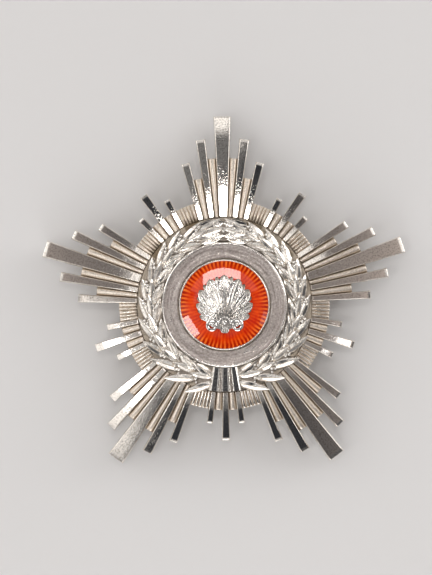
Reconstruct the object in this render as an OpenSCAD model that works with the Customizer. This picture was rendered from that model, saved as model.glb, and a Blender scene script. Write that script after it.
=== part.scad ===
// Breast star of an order: a five-armed star of cut rays carries a laurel wreath, a turned
// collar and an enamelled medallion with a raised palmette. A brooch pin is fixed behind it.
// The face looks along +Z, one arm points along +Y, and Z = 0 is the surface it rests on.

/* [Star] */
// Distance from the centre to the end of each arm
tip_r = 32.7; // [30:0.1:36]
// Radius of the flat middle, where the ribs of the arms begin
seat_r = 15.1; // [15:0.05:15.4]
// Height of the flat back of the middle above the surface below
back_z = 4.6; // [4.4:0.1:5.2]
// Thickness of the star between its ribs
web_t = 1.1; // [0.9:0.05:1.4]
// Radius of the sphere that the arms are bent to
bow_r = 150; // [130:5:220]
// Radius of the hole for the medallion's rivet boss
boss_hole_r = 3.0; // [2:0.1:3.5]

/* [Wreath] */
// Inner radius of the wreath
wreath_in_r = 10.95; // [10.9:0.05:11.2]
// Outer radius of the band under the leaves
wreath_out_r = 14.3; // [14:0.05:14.6]
// Thickness of the band under the leaves
band_t = 0.95; // [0.9:0.05:1.2]
// Height of a leaf's ridge above the underside of the leaf
leaf_h = 0.95; // [0.6:0.05:1.2]
// Width of a leaf
leaf_w = 1.8; // [1:0.05:2]
// Leaves on the outer side of each branch
outer_leaves = 12; // [10:1:13]
// Leaves on its inner side
inner_leaves = 10; // [9:1:11]

/* [Medallion] */
// Outer radius of the medallion's cup
cup_r = 7.85; // [7.6:0.05:7.95]
// Wall thickness of the cup
cup_wall = 0.25; // [0.2:0.05:0.4]
// Height of the cup's rim above the star's middle
cup_h = 2.4; // [2:0.1:2.8]
// Thickness of the cup's floor
cup_floor = 1.3; // [1:0.1:1.5]
// Inner radius of the collar ring
collar_in_r = 8.05; // [8:0.05:8.2]
// Outer radius of the collar ring
collar_out_r = 10.85; // [10.7:0.05:10.85]
// Radius of the dome of the enamel
dome_r = 43; // [35:1:80]
// Height of the relief above the enamel
relief_h = 0.65; // [0.4:0.05:0.9]

/* [Pin] */
// Width of the strip, the hinge block and the catch
pin_w = 5; // [4:0.5:7]
// Length of the strip
strip_l = 28.6; // [26:0.2:28.8]
// Thickness of the strip
strip_t = 0.6; // [0.4:0.1:0.8]
// Distance from the centre to the middle of the hinge block and of the catch
foot_y = 11; // [10:0.5:12]
// Length of the hinge block and of the catch along the needle
foot_l = 3; // [2:0.2:4]
// Radius of the needle
needle_r = 0.45; // [0.35:0.05:0.6]
// Height of the needle's axis above the surface below
needle_z = 1.7; // [1.5:0.05:1.9]

/* [Hidden] */

// Clearance between pieces that lie on or in each other
gap = 0.02;
// Depth to which parts of one piece run into each other
bite = 0.1;
seat_z = back_z + web_t;
arm_step = 360 / 5;
top_arm_deg = 90;

// Distances at which ribs are cut off, as shares of tip_r. The first is where they begin.
cut_r = [seat_r, for (share = [0.558, 0.633, 0.680, 0.719, 0.777, 0.884, 1]) share * tip_r];

// Ribs of half an arm, from its axis to the middle of the valley beside it
// [edge in degrees from the axis, number of its cut in cut_r, rise over the web, slope in degrees]
TO = 0;
CUT = 1;
RISE = 2;
SLOPE = 3;
half_arm = [
    [2.65, 7, 0.80, 0.35], // long ray, half of it
    [5.90, 5, 0.45, 0.80], // long rod
    [9.30, 6, 0.80, 0.35], // first side ray
    [13.1, 3, 0.45, 0.90], // short rod
    [16.4, 5, 0.80, 0.35], // second side ray
    [18.7, 1, 0.40, 0.40], // pleats
    [20.5, 1, 0.45, 0.40],
    [22.7, 1, 0.40, 0.40],
    [24.4, 1, 0.45, 0.40],
    [26.7, 1, 0.40, 0.40],
    [29.8, 2, 0.70, 0.35], // small ray
    [34.2, 1, 0.45, 1.00], // shortest rod
    [36.0, 4, 0.75, 0.35], // valley ray, half of it
];
last_row = len(half_arm) - 1;

function polar(r, deg, z) = [r * cos(deg), r * sin(deg), z];
function dome_drop(radius, r) = radius - sqrt(radius * radius - r * r);
function back_at(r) = back_z - dome_drop(bow_r, r) + dome_drop(bow_r, seat_r);

// A rib is [start in degrees, end in degrees, last cut, rise, slope]
function rib(from, to, row) = [from, to, row[CUT], row[RISE], row[SLOPE]];
function arm_ribs(axis) = concat(
    [rib(axis - half_arm[0][TO], axis + half_arm[0][TO], half_arm[0])],
    [for (i = [1:last_row - 1]) rib(axis + half_arm[i - 1][TO], axis + half_arm[i][TO], half_arm[i])],
    [rib(axis + half_arm[last_row - 1][TO], axis + arm_step - half_arm[last_row - 1][TO],
         half_arm[last_row])],
    [for (i = [last_row - 1:-1:1])
        rib(axis + arm_step - half_arm[i][TO], axis + arm_step - half_arm[i - 1][TO], half_arm[i])]
);
ribs = [for (arm = [0:4]) each arm_ribs(top_arm_deg + arm * arm_step)];

// Each rib owns a block of points: two at the hole, then four at each cut
HOLE_BACK = 0;
HOLE_TOP = 1;
BACK = 2;
GROOVE = 3;
NEAR = 4;
FAR = 5;
block = 2 + 4 * len(cut_r);
function rib_points(r) = concat(
    [polar(boss_hole_r, r[0], back_z), polar(boss_hole_r, r[0], seat_z)],
    [for (cut = cut_r)
        each [
            polar(cut, r[0], back_at(cut)),
            polar(cut, r[0], back_at(cut) + web_t),
            polar(cut, r[0] + r[4], back_at(cut) + web_t + r[3]),
            polar(cut, r[1] - r[4], back_at(cut) + web_t + r[3])
        ]]
);
function at(i, cut, kind) = (i % len(ribs)) * block + 4 * cut + kind;

function rib_faces(i) = let (reach = ribs[i][2], before = ribs[(i + len(ribs) - 1) % len(ribs)][2]) concat(
    // The flat middle and the wall of the hole
    [[at(i, 0, HOLE_TOP), at(i + 1, 0, HOLE_TOP), at(i + 1, 0, GROOVE), at(i, 0, GROOVE)]],
    [[at(i, 0, HOLE_BACK), at(i, 0, BACK), at(i + 1, 0, BACK), at(i + 1, 0, HOLE_BACK)]],
    [[at(i + 1, 0, HOLE_TOP), at(i, 0, HOLE_TOP), at(i, 0, HOLE_BACK), at(i + 1, 0, HOLE_BACK)]],
    // The root and the end of the rib
    [[at(i, 0, FAR), at(i, 0, NEAR), at(i, 0, GROOVE), at(i + 1, 0, GROOVE)]],
    [[at(i, reach, GROOVE), at(i, reach, NEAR), at(i, reach, FAR), at(i + 1, reach, GROOVE),
      at(i + 1, reach, BACK), at(i, reach, BACK)]],
    // Its top, slopes and back
    [for (k = [0:reach - 1])
        each [
            [at(i, k, GROOVE), at(i, k, NEAR), at(i, k + 1, NEAR), at(i, k + 1, GROOVE)],
            [at(i, k, NEAR), at(i, k, FAR), at(i, k + 1, FAR), at(i, k + 1, NEAR)],
            [at(i, k, FAR), at(i + 1, k, GROOVE), at(i + 1, k + 1, GROOVE), at(i, k + 1, FAR)],
            [at(i, k, BACK), at(i, k + 1, BACK), at(i + 1, k + 1, BACK), at(i + 1, k, BACK)]
        ]],
    // The wall where it reaches past the rib before it, or that rib past it
    [for (k = [before:1:reach - 1])
        [at(i, k, GROOVE), at(i, k + 1, GROOVE), at(i, k + 1, BACK), at(i, k, BACK)]],
    [for (k = [reach:1:before - 1])
        [at(i, k + 1, GROOVE), at(i, k, GROOVE), at(i, k, BACK), at(i, k + 1, BACK)]]
);

module rayed_star() {
    color("gainsboro")
        polyhedron(
            points = [for (r = ribs) each rib_points(r)],
            faces = [for (i = [0:len(ribs) - 1]) each rib_faces(i)]
        );
}

// Wreath: angles are counted from the foot of the wreath up along the branch. The tips of the
// leaves are spread evenly between the first and the last
foot_deg = 270;
outer_first_deg = 26.6;
outer_last_deg = 173;
outer_turn_deg = 16;
outer_base_r = 13.2;
outer_tip_r = 14.45;
inner_first_deg = 31;
inner_last_deg = 174.4;
inner_turn_deg = 18.5;
inner_base_r = 12.95;
inner_tip_r = 11.5;
// The lowest leaves on the outer side reach further out, the first of them by flare
flared_leaves = 5;
flare = 2.1;
leaf_z = seat_z + gap + band_t - bite;
leaf_edge_t = 0.3;
berry_r = 13;
berry_size = 0.5;
berry_lift = 0.5;
top_berry_r = 12.6;
top_berry_size = 0.55;
bar_step_deg = 7.6;
bar_end_r = seat_r - 0.07;
bar_near_h = 1.7;
bar_far_h = 1.6;
bar_slope_h = 0.5;

// Half of a leaf's outline and its mirror image, with the points at both ends
function leaf_edge(l, w, t) = [l * t, (w / 2) * sin(180 * pow(t, 0.8))];
function leaf_outline(l, w) = [for (t = [0, 0.15, 0.4, 0.75, 1]) leaf_edge(l, w, t),
                               for (t = [0.75, 0.4, 0.15]) leaf_edge(l, -w, t)];

module leaf(base_deg, base_r, tip_deg, tip_r) {
    base = polar(base_r, base_deg, leaf_z);
    tip = polar(tip_r, tip_deg, leaf_z);
    l = norm(tip - base);
    translate(base)
        rotate(atan2(tip.y - base.y, tip.x - base.x))
            hull() {
                linear_extrude(leaf_edge_t) polygon(leaf_outline(l, leaf_w));
                translate([0.15 * l, -0.05, 0]) cube([0.1, 0.1, 0.6 * leaf_h]);
                translate([0.75 * l, -0.05, 0]) cube([0.1, 0.1, leaf_h]);
            }
}

// A berry on a short stalk
module berry(deg, r, size) {
    translate(polar(r, deg, leaf_z)) cylinder(berry_lift, r = 0.9 * size, $fn = 8);
    translate(polar(r, deg, leaf_z + berry_lift)) sphere(size, $fn = 8);
}

module branch() {
    for (i = [0:outer_leaves - 1]) {
        deg = foot_deg - outer_first_deg - i * (outer_last_deg - outer_first_deg) / (outer_leaves - 1);
        further = i < flared_leaves ? flare * pow(cos(90 * i / flared_leaves), 2) : 0;
        leaf(deg + outer_turn_deg, outer_base_r + further / 4, deg, outer_tip_r + further);
    }
    for (i = [0:inner_leaves - 1]) {
        deg = foot_deg - inner_first_deg - i * (inner_last_deg - inner_first_deg) / (inner_leaves - 1);
        leaf(deg + inner_turn_deg, inner_base_r, deg, inner_tip_r);
        berry(deg + inner_turn_deg - 2, berry_r, berry_size);
    }
}

// A slice of a bar, with a flat top between two slopes
module bar_section(r, h) {
    w = 2 * r * tan(bar_step_deg / 2) - 2 * gap;
    translate([r, -w / 2, seat_z + gap]) cube([bite, w, h - bar_slope_h]);
    translate([r, -w / 4, seat_z + gap]) cube([bite, w / 2, h]);
}

module laurel_wreath() {
    color("lightgray") {
        difference() {
            translate([0, 0, seat_z + gap]) cylinder(band_t, r = wreath_out_r, $fn = 60);
            translate([0, 0, seat_z]) cylinder(band_t + 1, r = wreath_in_r, $fn = 60);
        }
        branch();
        mirror([1, 0, 0]) branch();
        berry(foot_deg - 180, top_berry_r, top_berry_size);
        for (i = [-1:1])
            rotate(foot_deg + i * bar_step_deg) hull() {
                bar_section(wreath_in_r, bar_near_h);
                bar_section(bar_end_r - bite, bar_far_h);
            }
    }
}

module collar_ring() {
    color("silver")
        translate([0, 0, seat_z + gap])
            rotate_extrude($fn = 180)
                polygon([[collar_in_r, 0], [collar_out_r, 0], [collar_out_r, 1.5],
                         [collar_out_r - 0.4, 1.85], [collar_in_r + 0.15, 2.2], [collar_in_r, 2.1]]);
}

module medallion_cup() {
    color("silver") {
        difference() {
            translate([0, 0, seat_z + gap]) cylinder(cup_h, r = cup_r, $fn = 180);
            translate([0, 0, seat_z + gap + cup_floor])
                cylinder(cup_h, r = cup_r - cup_wall, $fn = 180);
        }
        translate([0, 0, back_z]) cylinder(web_t + bite, r = boss_hole_r - gap * 2, $fn = 90);
    }
}

enamel_z = seat_z + gap + cup_floor + gap;
enamel_r = cup_r - cup_wall - gap;
enamel_edge_t = cup_h - cup_floor - 0.15;
enamel_top_z = enamel_z + enamel_edge_t + dome_drop(dome_r, enamel_r);
function enamel_at(r) = enamel_top_z - dome_drop(dome_r, r);

module enamel_disc() {
    color("orangered")
        intersection() {
            translate([0, 0, enamel_z]) cylinder(3, r = enamel_r, $fn = 180);
            translate([0, 0, enamel_top_z - dome_r]) sphere(dome_r, $fn = 200);
        }
}

// Relief: a thin ground follows the domed enamel, and raised ribs on it join one knob to the next
ground_lift = 0.03;
ground_t = 0.24;
knob_lift = 0.16;
relief_ground_r = 4.3;
relief_r = 4.9;
relief_y = 0.3;
fan_y = -3;
fan_lobes = 9;
fan_step_deg = 19;
scroll_r = 1.05;

module knob(x, y, size, h) {
    translate([x, y, enamel_at(norm([x, y])) + knob_lift])
        cylinder(h - knob_lift, r1 = size, r2 = size * 0.6, $fn = 8);
}

// Distance from the foot of the fan to the round outline of the relief
function fan_reach(deg) = let (d = relief_y - fan_y)
    d * cos(deg) + sqrt(relief_r * relief_r - pow(d * sin(deg), 2));

module fan_lobe(deg) {
    reach = fan_reach(deg);
    head = 0.14 * reach;
    hull() {
        knob(0.9 * sin(deg), fan_y + 0.9 * cos(deg), 0.22, 0.6 * relief_h);
        knob((reach - head) * sin(deg), fan_y + (reach - head) * cos(deg), head, relief_h);
    }
}

function scroll_point(t) = let (r = scroll_r * (1 - 0.5 * t), deg = 150 - 330 * t)
    [2.1 + r * cos(deg), fan_y - 0.55 + r * sin(deg)];

module scroll() {
    steps = 7;
    for (i = [0:steps - 1]) {
        from = scroll_point(i / steps);
        to = scroll_point((i + 1) / steps);
        hull() {
            knob(from.x, from.y, 0.3, 0.8 * relief_h);
            knob(to.x, to.y, 0.3, 0.8 * relief_h);
        }
    }
}

module palmette_emblem() {
    color("gainsboro") {
        rotate_extrude($fn = 36)
            polygon([for (r = [0:1:4]) [r, enamel_at(r) + ground_lift],
                     [relief_ground_r, enamel_at(relief_ground_r) + ground_lift],
                     for (r = [relief_ground_r, 3, 1.5, 0]) [r, enamel_at(r) + ground_lift + ground_t]]);
        for (i = [0:fan_lobes - 1]) fan_lobe((i - (fan_lobes - 1) / 2) * fan_step_deg);
        scroll();
        mirror([1, 0, 0]) scroll();
        hull() {
            knob(-1.5, fan_y - 0.2, 0.45, relief_h);
            knob(1.5, fan_y - 0.2, 0.45, relief_h);
            knob(0, fan_y - 1.1, 0.8, relief_h);
        }
        hull() {
            knob(0, fan_y - 1.1, 0.6, relief_h);
            knob(0, fan_y - 1.8, 0.25, 0.6 * relief_h);
        }
    }
}

foot_h = back_z - gap;
catch_slot = 2 * needle_r + 0.3;
needle_tip_y = -foot_y - foot_l / 2 - 1.2;
needle_point_l = 2.2;

module brooch_pin() {
    color("silver") {
        translate([-pin_w / 2, -strip_l / 2, foot_h - strip_t]) cube([pin_w, strip_l, strip_t]);
        translate([-pin_w / 2, foot_y - foot_l / 2, 0]) cube([pin_w, foot_l, foot_h - strip_t / 2]);
        difference() {
            translate([-pin_w / 2, -foot_y - foot_l / 2, 0]) cube([pin_w, foot_l, foot_h - strip_t / 2]);
            translate([-catch_slot / 2, -foot_y - foot_l, needle_z - catch_slot / 2])
                cube([pin_w, 2 * foot_l, catch_slot]);
        }
        translate([0, foot_y - foot_l / 2 + bite, needle_z])
            rotate([90, 0, 0])
                cylinder(foot_y - foot_l / 2 + bite - needle_tip_y - needle_point_l, r = needle_r, $fn = 48);
        translate([0, needle_tip_y + needle_point_l, needle_z])
            rotate([90, 0, 0]) cylinder(needle_point_l, r1 = needle_r, r2 = 0.1, $fn = 48);
    }
}

rayed_star();
laurel_wreath();
collar_ring();
medallion_cup();
enamel_disc();
palmette_emblem();
brooch_pin();
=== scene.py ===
import math

import bmesh
import bpy
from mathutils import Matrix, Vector


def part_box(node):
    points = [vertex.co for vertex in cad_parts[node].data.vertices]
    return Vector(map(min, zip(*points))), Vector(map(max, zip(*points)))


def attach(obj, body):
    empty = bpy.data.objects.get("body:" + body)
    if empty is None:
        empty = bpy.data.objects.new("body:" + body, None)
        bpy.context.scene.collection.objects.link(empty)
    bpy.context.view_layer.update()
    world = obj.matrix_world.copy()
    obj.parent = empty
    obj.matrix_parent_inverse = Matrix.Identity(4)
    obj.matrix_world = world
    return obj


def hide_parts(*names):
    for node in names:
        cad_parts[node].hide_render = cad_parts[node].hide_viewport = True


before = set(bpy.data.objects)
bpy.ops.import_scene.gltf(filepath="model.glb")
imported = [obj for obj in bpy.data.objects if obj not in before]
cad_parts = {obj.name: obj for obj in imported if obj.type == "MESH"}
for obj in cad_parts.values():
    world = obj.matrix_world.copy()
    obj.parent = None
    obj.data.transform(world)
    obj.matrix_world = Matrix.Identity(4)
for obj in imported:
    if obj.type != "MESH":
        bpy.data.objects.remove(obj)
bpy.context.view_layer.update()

# The rayed star is one struck and pierced silver plate. Its middle is flat and carries the
# wreath; outside it, long flat rays, round rods and short pleats fan out and bend back a
# little, as if cut from a shallow dome. The ray tops are polished, the rods are dull and beige.
MM = 0.001
seat_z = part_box("laurel_wreath")[0][2] - 0.02 * MM
back_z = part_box("medallion_cup")[0][2]
arm_r = 32.7 * MM
seat_r = 15.1 * MM
hole_r = 3.0 * MM
bow_r = 150 * MM
web_t = seat_z - back_z
# The ribs rise from the flat middle to their full height within this length
root_l = 0.14 * MM
arm_step = 72
top_arm_deg = 90

# Half an arm, from its axis to the middle of the valley:
# edge in degrees from the axis, reach as a share of the arm, rise over the web in mm, form
half_arm = [
    (2.65, 1.000, 0.80, "ray"),
    (5.90, 0.777, 0.55, "rod"),
    (9.30, 0.884, 0.80, "ray"),
    (13.1, 0.680, 0.55, "rod"),
    (16.4, 0.777, 0.80, "ray"),
    (18.7, 0.558, 0.44, "pleat"),
    (20.5, 0.558, 0.48, "pleat"),
    (22.7, 0.558, 0.42, "pleat"),
    (24.4, 0.558, 0.47, "pleat"),
    (26.7, 0.558, 0.44, "pleat"),
    (29.8, 0.633, 0.70, "ray"),
    (34.2, 0.558, 0.50, "rod"),
    (36.0, 0.719, 0.75, "ray"),
]

# Sections across a rib: degrees in from its edge for a ray's shoulder, or share of its width
# for the others, and share of its full rise
ray_shoulder = [(0.0, 0.0), (0.05, 0.62), (0.14, 0.84), (0.25, 0.95), (0.34, 0.99), (0.40, 1.0),
                (0.46, 1.0)]
rod_section = [(0.0, 0.0), (0.07, 0.15), (0.12, 0.52), (0.20, 0.78), (0.32, 0.93), (0.43, 0.99),
               (0.57, 0.99), (0.68, 0.93), (0.80, 0.78), (0.88, 0.52), (0.93, 0.15)]
pleat_section = [(0.0, 0.35), (0.08, 0.68), (0.22, 0.92), (0.40, 1.0), (0.60, 1.0), (0.78, 0.92),
                 (0.92, 0.68)]


def arm_ribs(axis):
    """The ribs of one arm and the valley after it, as (start, end, reach, rise, form)."""
    core, valley = half_arm[0], half_arm[-1]
    flank = half_arm[:-1]
    ribs = [(axis - core[0], axis + core[0], *core[1:])]
    ribs += [(axis + a[0], axis + b[0], *b[1:]) for a, b in zip(flank, flank[1:])]
    ribs += [(axis + flank[-1][0], axis + arm_step - flank[-1][0], *valley[1:])]
    ribs += [(axis + arm_step - b[0], axis + arm_step - a[0], *b[1:])
             for a, b in reversed(list(zip(flank, flank[1:])))]
    return ribs


ribs = [rib for arm in range(5) for rib in arm_ribs(top_arm_deg + arm * arm_step)]

# Each column is (angle, share of the rise, number of its rib)
columns = []
for number, (start, end, reach, rise, form) in enumerate(ribs):
    if form == "ray":
        section = [(start + inset, h) for inset, h in ray_shoulder] + [((start + end) / 2, 1)]
        section += [(end - inset, h) for inset, h in reversed(ray_shoulder[1:])]
    else:
        shares = rod_section if form == "rod" else pleat_section
        section = [(start + u * (end - start), h) for u, h in shares]
    columns += [(deg, h, number) for deg, h in section]


def dome_drop(radius, r):
    return radius - math.sqrt(radius * radius - r * r)


def back_at(r):
    return back_z - max(0, dome_drop(bow_r, r) - dome_drop(bow_r, seat_r))


def polar(r, deg, z=0.0):
    return Vector((r * math.cos(math.radians(deg)), r * math.sin(math.radians(deg)), z))


def end_fall(r, reach_r):
    """How far a rib's top has bent down and rounded off at r, near its end at reach_r."""
    bend_l, bend = 1.8 * MM, 0.10 * MM
    round_l, rounding = 0.15 * MM, 0.12 * MM
    bent = max(0, 1 - (reach_r - r) / bend_l)
    rounded = max(0, 1 - (reach_r - r) / round_l)
    return bend * bent ** 2 + rounding * rounded ** 2


def hand_lean(number):
    """The small sideways slope that filing by hand left on a rib's top."""
    return 0.008 * math.sin(5.3 * number + 1)


def top_point(r, column):
    """A point of the star's face at radius r on one of the columns."""
    deg, h, number = columns[column]
    start, end, own_reach, rise, form = ribs[number]
    # A rib's first column is also the edge of the rib before it, so the longer of the two counts
    reach = max(own_reach, ribs[number - 1][2]) if deg == start else own_reach
    root = min(1, max(0, (r - seat_r) / root_l)) ** 0.5
    lean = hand_lean(number) * math.radians(deg - (start + end) / 2) * r
    # The shorter a ray of the upper arms is, the more steeply it droops
    steepest, gain = 0.021, 0.09
    bent = max(0, math.sin(math.radians(start + end) / 2)) if form == "ray" else 0
    droop = min(steepest, gain * (1 - own_reach)) * bent * max(0, r - seat_r)
    fall = end_fall(r, reach * arm_r) if h else 0
    return polar(r, deg, back_at(r) + web_t + (rise * MM + lean - droop) * h * root - fall)


# Least tarnish of each form, and the power by which its tarnish keeps to the grooves
form_tarnish = {"ray": (0.0, 0.9), "rod": (0.46, 2), "pleat": (0.24, 0.9)}
# The pleats towards this angle, near the top of the star, are darkest
darkest_pleat_deg = 105


def tarnish_at(r, column):
    """Tarnish from 0 to 1: most in the grooves and along the wreath; the pleats also get darker
    towards the top of the star.
    """
    deg, h, number = columns[column]
    form = ribs[number][4]
    least, groove_power = form_tarnish[form]
    out = (r - seat_r) / MM
    root = 0.78 if out < 0.1 else 0.5 * max(0, 1 - out / 0.5)
    # The pleats get darker towards the top of the star
    if form == "pleat":
        pleat_darkening = 0.5 + 0.5 * math.cos(math.radians(deg - darkest_pleat_deg))
        least += pleat_darkening * (0.3 + 0.6 * max(0, 1 - out / 1.5)) - 0.1
    return min(1, max(0.95 * (1 - h) ** groove_power, least, root))


def thicken_down(bm, faces, floor):
    """Close a sheet below: its copy stays as the top, and the old sheet drops to floor(co)."""
    old = {v for f in faces for v in f.verts}
    bmesh.ops.extrude_face_region(bm, geom=faces)
    for v in old:
        v.co.z = floor(v.co)
    bmesh.ops.recalc_face_normals(bm, faces=bm.faces[:])


def piece_from(bm, name, material, sharp_deg=38):
    """Make a bmesh an object at the origin, smooth except along its sharp edges."""
    mesh = bpy.data.meshes.new(name)
    bm.to_mesh(mesh)
    bm.free()
    mesh.materials.append(material)
    mesh.shade_smooth()
    mesh.set_sharp_from_angle(angle=math.radians(sharp_deg))
    piece = bpy.data.objects.new(name, mesh)
    bpy.context.scene.collection.objects.link(piece)
    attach(piece, "root")
    return piece


class Wire:
    """One output of a material's node tree, with arithmetic that adds Math nodes."""

    def __init__(self, tree, socket=None):
        self.tree = tree
        self.socket = socket

    def node(self, kind, settings=None, sockets=None, out=0):
        """Add a node of a kind, set its settings, fill its sockets, and wrap one output."""
        made = self.tree.nodes.new("ShaderNode" + kind)
        for name, value in (settings or {}).items():
            setattr(made, name, value)
        for name, value in (sockets or {}).items():
            if isinstance(value, Wire):
                self.tree.links.new(value.socket, made.inputs[name])
            else:
                made.inputs[name].default_value = value
        return Wire(self.tree, made.outputs[out])

    def maths(self, operation, *values):
        return self.node("Math", {"operation": operation}, dict(enumerate(values)))

    def clamped(self, low=0.0, high=1.0):
        return self.maths("MINIMUM", self.maths("MAXIMUM", self, low), high)

    def part(self, number):
        """Another output of the node that this wire comes from."""
        return Wire(self.tree, self.socket.node.outputs[number])

    def mix(self, a, b):
        """Mix colours a and b by this value."""
        return self.node("Mix", {"data_type": "RGBA"}, {0: self, 6: a, 7: b}, out=2)

    def __add__(self, other):
        return self.maths("ADD", self, other)

    def __sub__(self, other):
        return self.maths("SUBTRACT", self, other)

    def __rsub__(self, other):
        return self.maths("SUBTRACT", other, self)

    def __mul__(self, other):
        return self.maths("MULTIPLY", self, other)

    __radd__ = __add__
    __rmul__ = __mul__


def shader_start(name, **constants):
    """A material with a Principled shader, its constant sockets set, and its node tree."""
    material = bpy.data.materials.new(name)
    material.use_nodes = True
    shader = material.node_tree.nodes["Principled BSDF"]
    for socket, value in constants.items():
        shader.inputs[socket.replace("_", " ")].default_value = value
    return material, shader, Wire(material.node_tree)


def connect(wire, socket):
    wire.tree.links.new(wire.socket, socket)


def old_silver(name, clean=(0.90, 0.87, 0.83, 1), beige=(0.89, 0.805, 0.71, 1),
               brown=(0.24, 0.185, 0.12, 1), polish=0.05, dull=0.42, patchy=0.2, speckle=0.0,
               tarnish=0.0, grain=0.22, waves=0.06, pits=0.0, marks=None):
    """Silver that turns from clean to beige to brown as its "tarnish" attribute says.

    marks makes further lines, from the tree's first wire and the place on the piece."""
    material, shader, start = shader_start(name, Metallic=1.0)
    place = start.node("TexCoord", out=3)
    worn = start.node("Attribute", {"attribute_name": "tarnish"}, out=2)
    patches = start.node("TexNoise", sockets={"Vector": place, "Scale": 600, "Detail": 4})
    grains = start.node("TexNoise", sockets={"Vector": place, "Scale": 3400, "Detail": 2})
    swell = start.node("TexNoise", sockets={"Vector": place, "Scale": 450, "Detail": 1})
    specks = start.node("TexNoise", sockets={"Vector": place, "Scale": 4200, "Detail": 1})
    mask = worn + tarnish + (patches - 0.5) * patchy + (grains - 0.5) * speckle
    if marks:
        lines = marks(start, place)
        mask = mask + (lines - 0.5) * 1.6
    mask = mask.clamped()
    colour = (mask * 2).clamped().mix(clean, beige)
    colour = (mask * 2 - 1).clamped().mix(colour, brown)
    pitted = ((specks - 0.48) * 5).clamped() * pits
    connect(pitted.mix(colour, brown), shader.inputs["Base Color"])
    connect(polish + (mask * 2).clamped() * (dull - polish) + (grains - 0.5) * 0.03,
            shader.inputs["Roughness"])
    dents = ((grains - 0.57) * 1.5).clamped() + grains * 0.3
    height = (swell * waves + dents * grain) * (1 - mask)
    if marks:
        height = height + lines * 1.5
    connect(start.node("Bump", sockets={"Strength": 1.0, "Distance": 0.03 * MM, "Height": height}),
            shader.inputs["Normal"])
    return material


bm = bmesh.new()
column_of = bm.verts.layers.int.new("column")
tarnish_of = bm.verts.layers.float.new("tarnish")
ring = bmesh.ops.create_circle(bm, segments=len(columns), radius=hole_r)["verts"]
ring.sort(key=lambda v: (math.degrees(math.atan2(v.co.y, v.co.x)) - columns[0][0]) % 360)
for number, v in enumerate(ring):
    v[column_of] = number
    v.co = top_point(hole_r, number)

# The face grows outwards ring by ring, through these radii, and stops at each rib's end
cuts = sorted({round(rib[2] * arm_r, 7) for rib in ribs})
stations = [9 * MM, 13 * MM, 14.6 * MM, seat_r, seat_r + 0.03 * MM, seat_r + root_l]
stations += [seat_r + 0.5 * MM, seat_r + 1.5 * MM]
stations += [cut - back * MM for cut in cuts for back in (1.4, 0.7, 0.15, 0.09, 0.04, 0.0)]
stations = sorted(r for r in stations if r <= cuts[-1])


def front_gap(edge):
    """The column that a front edge starts from, counted round the star."""
    low, high = sorted(v[column_of] for v in edge.verts)
    return low if high - low == 1 else high


front = bm.edges[:]
for r in stations:
    alive = [e for e in front if ribs[columns[front_gap(e)][2]][2] * arm_r > r - 1e-7]
    grown = bmesh.ops.extrude_edge_only(bm, edges=alive)["geom"]
    front = [g for g in grown if isinstance(g, bmesh.types.BMEdge)]
    for v in (g for g in grown if isinstance(g, bmesh.types.BMVert)):
        v.co = top_point(r, v[column_of])
        v[tarnish_of] = tarnish_at(r, v[column_of])
thicken_down(bm, bm.faces[:], lambda co: back_at(math.hypot(co.x, co.y)))

ray_silver = old_silver("ray_silver", dull=0.38, grain=0.18, pits=0.36)
star = piece_from(bm, "star_of_rays", ray_silver, sharp_deg=28)
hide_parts("rayed_star")

# The laurel wreath is a separate silver casting, sweated on to the star's flat middle: a flat
# band with two branches that grow from the foot to the top. Folded leaves point outwards and
# inwards, with berries where they fork, and three flat-topped bars cross the foot.
wreath_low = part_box("laurel_wreath")[0]
wreath_in_r = 10.95 * MM
wreath_out_r = 14.3 * MM
band_top = wreath_low[2] + 0.95 * MM
crest_r = 12.9 * MM
foot_deg = 270

# Rows across half a leaf: share of the half width, height of its rim or midrib in mm, tarnish
leaf_rows = [(0, 0.08, 0), (0.07, 0.05, 0), (0.12, 0, 0.6), (0.20, 0, 0), (0.50, 0, 0),
             (0.76, 0, 0), (0.81, 0, 0.7), (0.86, 0.06, 0), (0.91, 0.09, 0), (0.96, 0.06, 0),
             (1, -0.05, 0.3)]
leaf_rows = [(-s, ridge, dull) for s, ridge, dull in reversed(leaf_rows[1:])] + leaf_rows


def folded_leaf(bm, base, tip, width, floor_z, lean, fold=0.24, slope=0.0, lift=0.5):
    """A pointed leaf with a raised midrib and raised edges that rises from base to tip."""
    along = tip - base
    across = Vector((-along.y, along.x, 0)).normalized()
    before = set(bm.faces)
    dull_of = bm.verts.layers.float["tarnish"]
    grid = bmesh.ops.create_grid(bm, x_segments=18, y_segments=len(leaf_rows) - 1,
                                 size=0.5)["verts"]
    for v in grid:
        u = v.co.x + 0.5
        s, ridge, v[dull_of] = leaf_rows[round((v.co.y + 0.5) * (len(leaf_rows) - 1))]
        half = width / 2 * (4 * u ** 0.85 * (1 - u ** 0.85)) ** 0.9
        rise = lift * MM * u + lean * s * half
        roof = fold * width * (1 - abs(s)) + ridge * MM
        v.co = base + along * u + across * s * half
        off_crest = math.hypot(v.co.x, v.co.y) - crest_r
        fall = slope * off_crest if slope else 0.05 * min(1.8 * MM, abs(off_crest)) ** 2 / MM
        v.co.z = floor_z + rise + roof * min(1, 5 * (1 - u)) - fall
    bmesh.ops.remove_doubles(bm, verts=grid, dist=0.01 * MM)
    thicken_down(bm, [f for f in bm.faces if f not in before], lambda co: floor_z - 0.1 * MM)


def berry(bm, centre, size):
    grown = bmesh.ops.create_icosphere(bm, subdivisions=2, radius=size)["verts"]
    bmesh.ops.translate(bm, verts=grown, vec=centre)


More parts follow.
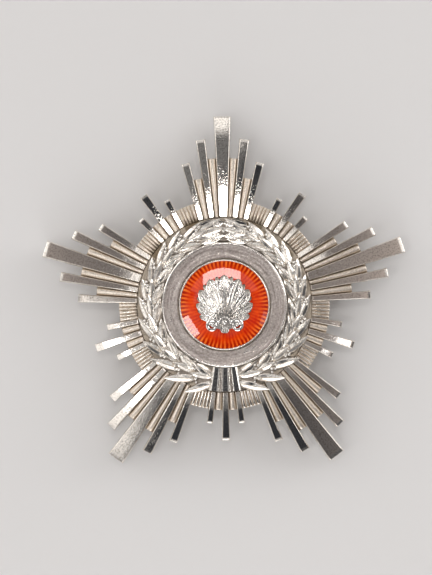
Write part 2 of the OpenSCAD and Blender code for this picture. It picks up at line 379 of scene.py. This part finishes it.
def spin_profile(bm, profile, steps=240):
    """Turn a closed outline of (radius, height) points once round the Z axis."""
    verts = [bm.verts.new((r, 0, z)) for r, z in profile]
    edges = [bm.edges.new((a, b)) for a, b in zip(verts, verts[1:] + verts[:1])]
    bmesh.ops.spin(bm, geom=verts + edges, cent=(0, 0, 0), axis=(0, 0, 1),
                   angle=math.tau, steps=steps, use_merge=True)
    bmesh.ops.remove_doubles(bm, verts=bm.verts[:], dist=1e-7)
    bmesh.ops.recalc_face_normals(bm, faces=bm.faces[:])


bm = bmesh.new()
dull_of = bm.verts.layers.float.new("tarnish")
spin_profile(bm, [(wreath_in_r, wreath_low[2]), (wreath_out_r, wreath_low[2]),
                  (wreath_out_r, band_top - 0.1 * MM), (wreath_out_r - 0.1 * MM, band_top),
                  (wreath_in_r + 0.1 * MM, band_top), (wreath_in_r, band_top - 0.1 * MM)])
# Where the leaves' tips point, in degrees up each branch from the foot of the wreath
outer_tips = [26.6 + 13.8 * i for i in range(12)]
inner_tips = [31.0 + 16.2 * i for i in range(10)]
# Berries of a leaf: radius in mm, degrees on from the leaf, size in mm
outer_berries = ((14.1, 3.6, 0.27), (13.75, 1.4, 0.30), (14.3, 0.2, 0.22), (13.6, 5.2, 0.22))
inner_berries = ((12.0, -2.6, 0.27), (11.65, -5.0, 0.24), (12.3, -5.6, 0.22))
# Leaves that lie across the top: radius in mm, degrees up the branch, width in mm
crossed_leaves = ((14.25, 181, 1.7), (13.0, 178.5, 1.6), (12.0, 180.5, 1.6), (11.4, 177.5, 1.1))
crossed_deg = 18
for side in (-1, 1):
    for number, turn in enumerate(outer_tips):
        swing = 1.2 * math.sin(4.1 * number + side)
        flare = 2.1 * MM * math.cos(math.radians(18 * number)) ** 2 if number < 5 else 0
        tip = polar(14.95 * MM + 0.8 * flare, foot_deg + side * (turn + swing))
        base = polar(13.0 * MM + 0.25 * flare, foot_deg + side * (turn - 21))
        folded_leaf(bm, base, tip, 1.5 * MM, band_top, 0.14 * math.sin(7 * number + side))
        base = polar(12.7 * MM, foot_deg + side * (turn - 17))
        tip = polar(13.35 * MM, foot_deg + side * (turn + 2.5 + swing))
        folded_leaf(bm, base, tip, 1.25 * MM, band_top + 0.1 * MM, 0.1, lift=0.6)
        for r, on, size in outer_berries:
            centre = polar(r * MM, foot_deg + side * (turn + on - 6), band_top + 0.5 * MM)
            berry(bm, centre, size * MM)
    for number, turn in enumerate(inner_tips):
        swing = 1.2 * math.sin(3.3 * number - side)
        tip = polar(11.2 * MM, foot_deg + side * (turn + swing))
        base = polar(12.9 * MM, foot_deg + side * (turn - 24))
        folded_leaf(bm, base, tip, 1.65 * MM, band_top, 0.14 * math.sin(5 * number - side))
        for r, on, size in inner_berries:
            centre = polar(r * MM, foot_deg + side * (turn + on), band_top + 0.45 * MM)
            berry(bm, centre, size * MM)
    for r, on, width in crossed_leaves:
        base = polar(r * MM, foot_deg + side * (on - crossed_deg))
        tip = polar(r * MM, foot_deg + side * on)
        folded_leaf(bm, base, tip, width * MM, band_top + 0.35 * MM, 0,
                    fold=0.012, slope=0.125, lift=0.05)
berry(bm, polar(12.8 * MM, foot_deg - 180, band_top + 0.62 * MM), 0.34 * MM)
# What lies low between the leaves is dark
for v in bm.verts:
    depth = (band_top + 0.24 * MM - v.co.z) / (0.2 * MM)
    v[dull_of] = max(v[dull_of], 0.85 * min(1, max(0, depth)))

bar_step = 7.6
bar_end_r = 15.03 * MM
bar_h = 1.62 * MM
# Section of a bar: share of its half width, share of its height
bar_section = [(-0.98, 0), (-0.98, 0.72), (-0.93, 0.78), (-0.50, 0.975), (-0.44, 1.0),
               (0.44, 1.0), (0.50, 0.975), (0.93, 0.78), (0.98, 0.72), (0.98, 0)]
for turn in (-bar_step, 0, bar_step):
    along, across = polar(1, foot_deg + turn), polar(1, foot_deg + turn + 90)
    before = set(bm.faces)
    spread = math.tan(math.radians(bar_step / 2))
    loop = [bm.verts.new(along * wreath_in_r + across * s * wreath_in_r * spread
                         + Vector((0, 0, wreath_low[2] + h * bar_h))) for s, h in bar_section]
    pushed = bmesh.ops.extrude_face_region(bm, geom=[bm.faces.new(loop)])["geom"]
    for v in (g for g in pushed if isinstance(g, bmesh.types.BMVert)):
        v.co += along * (bar_end_r - wreath_in_r)
        v.co += across * v.co.dot(across) * (bar_end_r / wreath_in_r - 1)
    bmesh.ops.recalc_face_normals(bm, faces=[f for f in bm.faces if f not in before])

wreath_silver = old_silver("wreath_silver", clean=(0.90, 0.88, 0.85, 1),
                           brown=(0.12, 0.10, 0.085, 1), patchy=0.1, speckle=0.15,
                           polish=0.09, grain=0.35, pits=0.4)
wreath = piece_from(bm, "laurel_wreath_cast", wreath_silver, sharp_deg=30)
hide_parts("laurel_wreath")

# The collar is a plain turned ring of silver round the medallion, slightly conical, with a
# narrow polished edge outside. The lathe left fine rings on it. It is soldered inside the wreath.
collar_low, collar_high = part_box("collar_ring")
collar_in_r, collar_out_r = 8.05 * MM, 10.85 * MM
bottom, top = collar_low[2], collar_high[2]
bm = bmesh.new()
spin_profile(bm, [
    (collar_in_r, bottom), (collar_out_r, bottom), (collar_out_r, top - 0.50 * MM),
    (collar_out_r - 0.04 * MM, top - 0.38 * MM), (collar_out_r - 0.12 * MM, top - 0.27 * MM),
    (collar_out_r - 0.22 * MM, top - 0.21 * MM), (collar_out_r - 0.32 * MM, top - 0.20 * MM),
    (collar_out_r - 0.37 * MM, top - 0.23 * MM), (collar_out_r - 0.42 * MM, top - 0.24 * MM),
    (collar_in_r + 0.30 * MM, top - 0.12 * MM), (collar_in_r + 0.15 * MM, top - 0.11 * MM),
    (collar_in_r + 0.05 * MM, top - 0.14 * MM), (collar_in_r, top - 0.22 * MM)])


def lathe_rings(start, place):
    """Fine uneven rings round the Z axis, in short arcs, as a height."""
    out = start.node("VectorMath", {"operation": "LENGTH"}, {0: place}, out=1)
    split = start.node("SeparateXYZ", sockets={0: place})
    turn = start.maths("ARCTAN2", split.part(1), split)
    spot = start.node("CombineXYZ", sockets={0: out * 3400, 1: turn * 1.6})
    return start.node("TexNoise", sockets={"Vector": spot, "Scale": 1, "Detail": 3})


dull_of = bm.verts.layers.float.new("tarnish")
for v in bm.verts:
    v[dull_of] = 0.62 if math.hypot(v.co.x, v.co.y) < collar_out_r - 0.34 * MM else 0
collar_silver = old_silver("collar_silver", clean=(0.97, 0.94, 0.91, 1),
                           beige=(0.52, 0.465, 0.44, 1), brown=(0.26, 0.225, 0.21, 1),
                           polish=0.12, dull=0.40, patchy=0.3, speckle=1.2, grain=1.0,
                           pits=0.35, marks=lathe_rings)
collar = piece_from(bm, "turned_collar", collar_silver, sharp_deg=50)
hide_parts("collar_ring")

# The medallion's cup is a shallow silver dish with a thin bright rim, and a rivet boss below
# that passes through the star.
cup_low, cup_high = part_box("medallion_cup")
enamel_low, enamel_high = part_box("enamel_disc")
cup_r, rim_z, floor_z = 7.85 * MM, cup_high[2], enamel_low[2] - 0.02 * MM
wall = 0.25 * MM
boss_r = 2.96 * MM
cup_z = seat_z + 0.02 * MM
bm = bmesh.new()
spin_profile(bm, [
    (0, cup_low[2]), (boss_r, cup_low[2]), (boss_r, cup_z), (cup_r, cup_z),
    (cup_r, rim_z - 0.1 * MM), (cup_r - 0.04 * MM, rim_z - 0.02 * MM), (cup_r - 0.12 * MM, rim_z),
    (cup_r - wall + 0.04 * MM, rim_z - 0.02 * MM), (cup_r - wall, rim_z - 0.08 * MM),
    (cup_r - wall, floor_z), (0, floor_z)])
cup_silver = old_silver("cup_silver", patchy=0.4, tarnish=0.15, polish=0.2, grain=0.1)
cup = piece_from(bm, "medallion_cup_turned", cup_silver, sharp_deg=50)
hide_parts("medallion_cup")

# The enamel is glossy translucent orange-red glass, fired over silver that a lathe has cut
# with 65 radial flutes. Its face is a shallow dome. Near the rim its colour carries painted
# shade in the flute troughs and painted glints along the flute crests.
enamel_r = 7.58 * MM
dome_r = 46 * MM
crown_z = enamel_high[2]
bm = bmesh.new()
dome = [(enamel_r * t, crown_z - dome_drop(dome_r, enamel_r * t)) for t in
        (1, 0.99, 0.95, 0.88, 0.8, 0.7, 0.6, 0.5, 0.4, 0.3, 0.2, 0.1, 0)]
spin_profile(bm, [(0, enamel_low[2]), (enamel_r, enamel_low[2])] + dome)
red_enamel, shader, start = shader_start("red_enamel", Metallic=0.0, Roughness=0.5,
                                         Specular_IOR_Level=0.0, Coat_Weight=1.0,
                                         Coat_Roughness=0.02)
flutes = 65
deep_red, clear_red = (0.66, 0.018, 0.0005, 1), (1.0, 0.085, 0.001, 1)
# Colours of the painted glints on the flute crests and of the painted shade in the troughs
glint_orange, painted_shade_red = (1.0, 0.24, 0.03, 1), (0.26, 0.008, 0.001, 1)
place = start.node("TexCoord", out=3)
split = start.node("SeparateXYZ", sockets={0: place})
turn = start.maths("ARCTAN2", split.part(1), split)
out = start.maths("SQRT", split * split + split.part(1) * split.part(1)) * (1 / enamel_r)
uneven = start.node("TexNoise", sockets={"Vector": place, "Scale": 900, "Detail": 2})
flute = start.maths("COSINE", turn * flutes + uneven * 3.0) * 0.5 + 0.5
rim = ((out - 0.79) * 6).clamped()
cloud = start.node("TexNoise", sockets={"Vector": place, "Scale": 900, "Detail": 3})
# Painted shade: near the rim the flute troughs darken to a deep red
wedge = ((rim * 0.55 + 0.1 - flute) * 4).clamped() * (rim * 0.65 + 0.05)
# Painted glints: bright orange dashes along the flute crests near the rim
painted_glint = ((flute - 0.42) * 2.2).clamped() * (rim * 0.9 + 0.06) * (cloud * 2 - 0.25).clamped()
glass = (flute * 0.3 + (cloud - 0.35) * 1.8).clamped().mix(deep_red, clear_red)
glass = painted_glint.mix(glass, glint_orange)
connect((wedge * 0.9).mix(glass, painted_shade_red), shader.inputs["Base Color"])
connect(start.node("Bump", sockets={"Strength": 0.6, "Distance": 0.03 * MM, "Height": flute}),
        shader.inputs["Normal"])
enamel = piece_from(bm, "fired_enamel", red_enamel, sharp_deg=60)
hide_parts("enamel_disc")

# The relief is a struck silver palmette, riveted over the enamel: a fan of nine hollowed petals
# with smaller ones between their tips rises from a beaded band and two scrolls.
fan_y = -3 * MM
relief_r, relief_y = 4.9 * MM, 0.3 * MM
ground_r = 4.35 * MM
fan_step = 19


def enamel_at(x, y):
    return crown_z - dome_drop(dome_r, math.hypot(x, y))


def fan_reach(deg):
    """Distance from the foot of the fan to the round outline of the relief."""
    off = relief_y - fan_y
    return off * math.cos(deg) + math.sqrt(relief_r ** 2 - (off * math.sin(deg)) ** 2)


def petal(bm, deg, near, far, width, height):
    """A round-ended petal of the fan with a raised rim, a hollow and a raised midrib."""
    way = Vector((math.sin(math.radians(deg)), math.cos(math.radians(deg)), 0))
    across = Vector((way.y, -way.x, 0))
    before = set(bm.faces)
    grid = bmesh.ops.create_grid(bm, x_segments=18, y_segments=28, size=0.5)["verts"]
    for v in grid:
        u, s = v.co.x + 0.5, v.co.y * 2
        half = width / 2 * max(0, math.sin(math.pi * u ** 1.9)) ** 0.6
        rim = (0.38 * s ** 6 + 0.30 * math.exp(-(s / 0.13) ** 2)
               + 0.14 * math.exp(-((abs(s) - 0.5) / 0.1) ** 2))
        swell = 1 - 1.1 * (u - 0.4) ** 2
        v.co = Vector((0, fan_y, 0)) + way * (near + (far - near) * u) + across * s * half
        v.co.z = enamel_at(v.co.x, v.co.y) + height * swell * (0.5 + rim)
    bmesh.ops.remove_doubles(bm, verts=grid, dist=0.01 * MM)
    thicken_down(bm, [f for f in bm.faces if f not in before],
                 lambda co: enamel_at(co.x, co.y) + 0.03 * MM)


def bead(bm, x, y, size, lift=0.2):
    berry(bm, Vector((x, y, enamel_at(x, y) + lift * MM)), size)


bm = bmesh.new()
ground = [(ground_r * t, enamel_at(ground_r * t, 0) + 0.03 * MM) for t in (0, 0.4, 0.7, 1)]
ground += [(ground_r * t, enamel_at(ground_r * t, 0) + 0.22 * MM) for t in (0.99, 0.7, 0.4, 0)]
spin_profile(bm, ground, steps=96)
for lobe in range(-4, 5):
    deg = lobe * fan_step
    reach = fan_reach(math.radians(deg))
    petal(bm, deg, 0.9 * MM, reach, (0.29 - 0.006 * abs(lobe)) * reach, 0.46 * MM)
for gap in range(-4, 4):
    deg = (gap + 0.5) * fan_step
    reach = fan_reach(math.radians(deg))
    petal(bm, deg, 0.55 * reach, 0.985 * reach, 0.11 * reach, 0.36 * MM)
    x, y = math.sin(math.radians(deg)), math.cos(math.radians(deg))
    bead(bm, x * 0.66 * reach, fan_y + y * 0.66 * reach, 0.17 * MM, 0.42)


def scroll(bm, side):
    """A round bar that curls in on itself beside the foot of the fan."""
    def centre(t):
        r, deg = (1.06 - 0.66 * t) * MM, math.radians(150 - 500 * t)
        x, y = side * (2.15 * MM + r * math.cos(deg)), fan_y - 0.60 * MM + r * math.sin(deg)
        return Vector((x, y, enamel_at(x, y) + 0.34 * MM))

    def place_loop(verts, t):
        ahead = (centre(min(1, t + 0.01)) - centre(max(0, t - 0.01))).normalized()
        beside = ahead.cross(Vector((0, 0, 1))).normalized()
        size = (0.30 - 0.06 * t) * MM
        for v in verts:
            deg = math.tau * v[spot_of] / sides
            v.co = centre(t) + size * (beside * math.cos(deg) + Vector((0, 0, math.sin(deg))))

    steps, sides = 40, 10
    spot_of = bm.verts.layers.int.get("spot") or bm.verts.layers.int.new("spot")
    before = set(bm.faces)
    loop = bmesh.ops.create_circle(bm, segments=sides, radius=1)["verts"]
    for number, v in enumerate(loop):
        v[spot_of] = number
    edges = list({e for v in loop for e in v.link_edges})
    bmesh.ops.edgenet_fill(bm, edges=edges)
    place_loop(loop, 0)
    for step in range(1, steps + 1):
        grown = bmesh.ops.extrude_edge_only(bm, edges=edges)["geom"]
        edges = [g for g in grown if isinstance(g, bmesh.types.BMEdge)]
        place_loop([g for g in grown if isinstance(g, bmesh.types.BMVert)], step / steps)
    bmesh.ops.edgenet_fill(bm, edges=edges)
    bmesh.ops.recalc_face_normals(bm, faces=[f for f in bm.faces if f not in before])


for side in (-1, 1):
    scroll(bm, side)
    bead(bm, side * 2.15 * MM, fan_y - 0.60 * MM, 0.26 * MM, 0.4)
petal(bm, 180, 0.3 * MM, 1.95 * MM, 1.5 * MM, 0.46 * MM)
for turn in (-42, 42):
    petal(bm, 180 + turn, 0.2 * MM, 1.35 * MM, 0.62 * MM, 0.4 * MM)
band_r, band_step = 1.05 * MM, 22
for number in range(-4, 5):
    deg = math.radians(number * band_step)
    x, y = band_r * math.sin(deg), fan_y + band_r * math.cos(deg) - 0.2 * MM
    bead(bm, x, y, 0.19 * MM, 0.36)
bead(bm, 0, fan_y, 0.50 * MM, 0.1)
# The hollows are dark, up to a little over the enamel
dull_of = bm.verts.layers.float.new("tarnish")
for v in bm.verts:
    lift = v.co.z - enamel_at(v.co.x, v.co.y)
    v[dull_of] = 0.95 * min(1, max(0, 1 - (lift - 0.085 * MM) / (0.16 * MM)))
relief_silver = old_silver("relief_silver", clean=(0.95, 0.93, 0.91, 1),
                           beige=(0.5, 0.46, 0.4, 1), brown=(0.10, 0.085, 0.07, 1), polish=0.1,
                           patchy=0.1, speckle=0.6, grain=0.7, pits=0.55)
relief = piece_from(bm, "palmette_struck", relief_silver, sharp_deg=35)
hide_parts("palmette_emblem")

# The pin behind is a plain fitting of finely brushed silver alloy, soldered to the star's back:
# a strip with a hinge block and a slotted catch, whose feet the star rests on, and the needle.
# Its edges are broken all round.
pin_metal = old_silver("pin_metal", clean=(0.66, 0.64, 0.60, 1), beige=(0.48, 0.44, 0.38, 1),
                       polish=0.26, dull=0.42, tarnish=0.15, patchy=0.5, grain=0.6)
bm = bmesh.new()
pin_low, pin_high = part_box("brooch_pin")
foot_y, foot_l, strip_t = 11 * MM, 3 * MM, 0.6 * MM
needle_z, needle_r, slot = 1.7 * MM, 0.45 * MM, 1.2 * MM
in_strip_z = pin_high[2] - strip_t / 2


def broken_edges(bm, corners, offset=0.1 * MM):
    """Bevel all edges of the shape that has these corners."""
    edges = list({e for v in corners for e in v.link_edges})
    bmesh.ops.bevel(bm, geom=edges, offset=offset, affect="EDGES", segments=2, profile=0.5,
                    material=-1)


def block(bm, low, high):
    corners = bmesh.ops.create_cube(bm, size=1)["verts"]
    for v in corners:
        v.co = Vector(((a + b) / 2 + side * (b - a) for a, b, side in zip(low, high, v.co)))
    broken_edges(bm, corners)


block(bm, (pin_low[0], pin_low[1], pin_high[2] - strip_t), pin_high)
block(bm, (pin_low[0], foot_y - foot_l / 2, 0), (pin_high[0], foot_y + foot_l / 2, in_strip_z))
section = [(pin_low[0], 0), (pin_high[0], 0), (pin_high[0], needle_z - slot / 2),
           (-slot / 2, needle_z - slot / 2), (-slot / 2, needle_z + slot / 2),
           (pin_high[0], needle_z + slot / 2), (pin_high[0], in_strip_z),
           (pin_low[0], in_strip_z)]
outline = [bm.verts.new((x, -foot_y - foot_l / 2, z)) for x, z in section]
catch = bm.faces.new(outline)
pushed = bmesh.ops.extrude_face_region(bm, geom=[catch])["geom"]
pushed = [v for v in pushed if isinstance(v, bmesh.types.BMVert)]
bmesh.ops.translate(bm, verts=pushed, vec=(0, foot_l, 0))
broken_edges(bm, outline + pushed, 0.08 * MM)
# Radius and place of the needle, from the hinge block to its point beyond the catch
needle = [(0, foot_y - foot_l / 2 + 0.1 * MM), (needle_r, foot_y - foot_l / 2 + 0.1 * MM),
          (needle_r, -foot_y), (0.38 * MM, -foot_y - 0.9 * MM), (0.24 * MM, -foot_y - 1.8 * MM),
          (0.1 * MM, -foot_y - 2.6 * MM), (0, -foot_y - 2.7 * MM)]
profile = [bm.verts.new((r, y, needle_z)) for r, y in needle]
edges = [bm.edges.new((a, b)) for a, b in zip(profile, profile[1:])]
bmesh.ops.spin(bm, geom=profile + edges, cent=(0, 0, needle_z), axis=(0, 1, 0),
               angle=math.tau, steps=32, use_merge=True)
bmesh.ops.remove_doubles(bm, verts=bm.verts[:], dist=1e-7)
bmesh.ops.recalc_face_normals(bm, faces=bm.faces[:])
pin = piece_from(bm, "brooch_pin_brushed", pin_metal, sharp_deg=30)
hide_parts("brooch_pin")

# The star lies face up on a plain pale table under a dim ceiling, in which part of a ring light
# shines behind the star. A softbox stands to its left in front and a small card to its right,
# and low panels light it from the front and from both sides behind.
bm = bmesh.new()
bmesh.ops.create_grid(bm, x_segments=1, y_segments=1, size=1.5)
mesh = bpy.data.meshes.new("table")
bm.to_mesh(mesh)
bm.free()
table = bpy.data.objects.new("table", mesh)
bpy.context.scene.collection.objects.link(table)
table_paint, shader, start = shader_start("table_paint", Base_Color=(0.8, 0.8, 0.81, 1),
                                          Roughness=0.8)
mesh.materials.append(table_paint)

world = bpy.data.worlds.new("studio")
bpy.context.scene.world = world
world.use_nodes = True
sky = Wire(world.node_tree)
split = sky.node("SeparateXYZ", sockets={0: sky.node("TexCoord", out=0)})
sideways, ahead, up = split, split.part(1), split.part(2)
width, depth = sky.maths("ABSOLUTE", sideways), sky.maths("ABSOLUTE", ahead + 0.03)
off_zenith = sky.maths("SQRT", 1 - up * up)

# A direction's place is its sine from the zenith. Seen from the front edge of the table, ahead
# is behind the star, and turned is the sine of the azimuth, so 1 straight behind it.
turned = sky.maths("DIVIDE", ahead, off_zenith)
# The rays mirror what is near the zenith. Only rods, leaves and rims mirror what is beyond.
beyond_rays = ((off_zenith - 0.54) * 8).clamped()
# A soft warm glow to both sides
sides = ((width + sideways * 0.1 - depth * 0.63) * 0.95).clamped(0, 0.43) * (1 - beyond_rays)
# Three pale panels, as the sine of three times the azimuth has three crests, and a far wall
panels = (turned * (3 - turned * turned * 4) * 2 - 0.4).clamped(0.06, 0.95) * beyond_rays
far_wall = ((turned - 0.80) * 8).clamped(0, 0.5) * beyond_rays
# A pale wall at the left in front, which widens outwards from near the zenith
slant = math.radians(207)
along = sideways * math.cos(slant) + ahead * math.sin(slant)
beside = sky.maths("ABSOLUTE", ahead * math.cos(slant) - sideways * math.sin(slant))
left_wall = ((along * 0.66 - beside) * 25).clamped() * ((along - 0.20) * 6.5).clamped(0, 0.95)
left_wall = left_wall - (beside - 0.13).clamped() * 3
# A faint wedge behind the star, and a bright patch further out
behind = ((ahead * 0.3 - sky.maths("ABSOLUTE", sideways + 0.06)) * 5).clamped(0, 0.12)
behind = behind * (1 - beyond_rays)
far_behind = ((0.16 - sky.maths("ABSOLUTE", off_zenith - 0.57)) * 20).clamped() * (
    (0.05 - sky.maths("ABSOLUTE", sideways)) * 30).clamped() * (ahead * 9).clamped()
# An arc of cove light behind the star
cove = ((0.279 - off_zenith) * 150).clamped() * ((off_zenith - 0.17) * 40).clamped()
cove = cove * ((ahead - off_zenith * 0.38) * 150).clamped() * 0.85
# A small card at the left, and a glow near the zenith in front
left_card = ((0.243 - off_zenith) * 60).clamped(0, 0.95) * (sideways * -20 - 3).clamped()
left_card = left_card * (ahead * 25 + 0.2).clamped() * ((0.125 - ahead) * 25).clamped()
near_front = ((0.262 - off_zenith) * 14).clamped(0, 0.45) * (ahead * -4).clamped() * (
    (width * 30).clamped() * ((0.13 - sideways) * 20).clamped(0.4, 1))
# The walls of the room low down, weaker behind the star
low = ((0.60 - up) * 0.8).clamped(0, 0.4) * (1 - ahead.clamped() * 0.6)
# The ring light itself: a piece of a ring, far brighter than the rest
ring_light = ((0.277 - off_zenith) * 300).clamped() * ((off_zenith - 0.210) * 300).clamped()
ring_light = ring_light * ((0.144 - sky.maths("ABSOLUTE", sideways + 0.017)) * 300).clamped()
ring_light = ring_light * (ahead * 100).clamped()

dim_ceiling, warm_side = (0.036, 0.037, 0.042, 1), (1.0, 0.86, 0.78, 1)
lit_white, lamp_white = (1.2, 1.15, 1.10, 1), (1.0, 0.96, 0.92, 1)
background = world.node_tree.nodes["Background"]
glow = sides.mix(dim_ceiling, warm_side)
lit = panels + left_wall.clamped() + behind + far_wall + cove + low + near_front + far_behind
lit = lit + left_card
glow = lit.clamped(0, 0.95).mix(glow, lit_white)
connect(ring_light.mix(glow, lamp_white), background.inputs["Color"])
connect(1 + ring_light * 12, background.inputs["Strength"])


def softbox(name, azimuth, from_zenith, width, depth, radiance, distance=0.9):
    """A flat lamp that looks at the star from an azimuth and an angle to the zenith.

    Its width and depth are the angles that it spans across and towards the zenith."""
    lamp = bpy.data.lights.new(name, "AREA")
    lamp.shape = "RECTANGLE"
    lamp.size, lamp.size_y = (2 * distance * math.tan(math.radians(a / 2)) for a in (width, depth))
    lamp.energy = radiance * lamp.size * lamp.size_y * math.pi
    rig = bpy.data.objects.new(name, lamp)
    out = polar(math.sin(math.radians(from_zenith)), azimuth, math.cos(math.radians(from_zenith)))
    rig.location = out * distance
    rig.rotation_euler = out.to_track_quat("Z", "Y").to_euler()
    rig.visible_camera = False
    bpy.context.scene.collection.objects.link(rig)


# Azimuth, angle to the zenith, width and depth in degrees, and radiance
softbox("softbox_left", 212.5, 18.2, 9.5, 4.2, 11)
softbox("card_right", 340, 24, 6, 13, 1.5)
softbox("low_panel_front", 270, 72, 40, 30, 1.6)
softbox("low_panel_right", 25, 72, 34, 24, 2.4)
softbox("low_panel_left", 150, 72, 30, 24, 1.3)

# The camera looks straight down, as the photo was taken, from far enough for hardly any
# perspective. Its picture is 432 by 575 pixels, and 0.1733 mm of the star is one pixel.
pixel = 0.1733 * MM
picture_h = 575 * pixel
star_right_of_centre, star_below_centre = 8.2 * pixel, 17.3 * pixel
camera_z = 1.5
camera = bpy.data.cameras.new("camera")
camera.sensor_width = 36
camera.lens = 36 * (camera_z - 5 * MM) / picture_h
camera_rig = bpy.data.objects.new("camera", camera)
camera_rig.location = (-star_right_of_centre, star_below_centre, camera_z)
camera_rig.rotation_euler = (0, 0, math.radians(-0.7))
bpy.context.scene.collection.objects.link(camera_rig)
bpy.context.scene.camera = camera_rig
bpy.context.scene.view_settings.view_transform = "Standard"
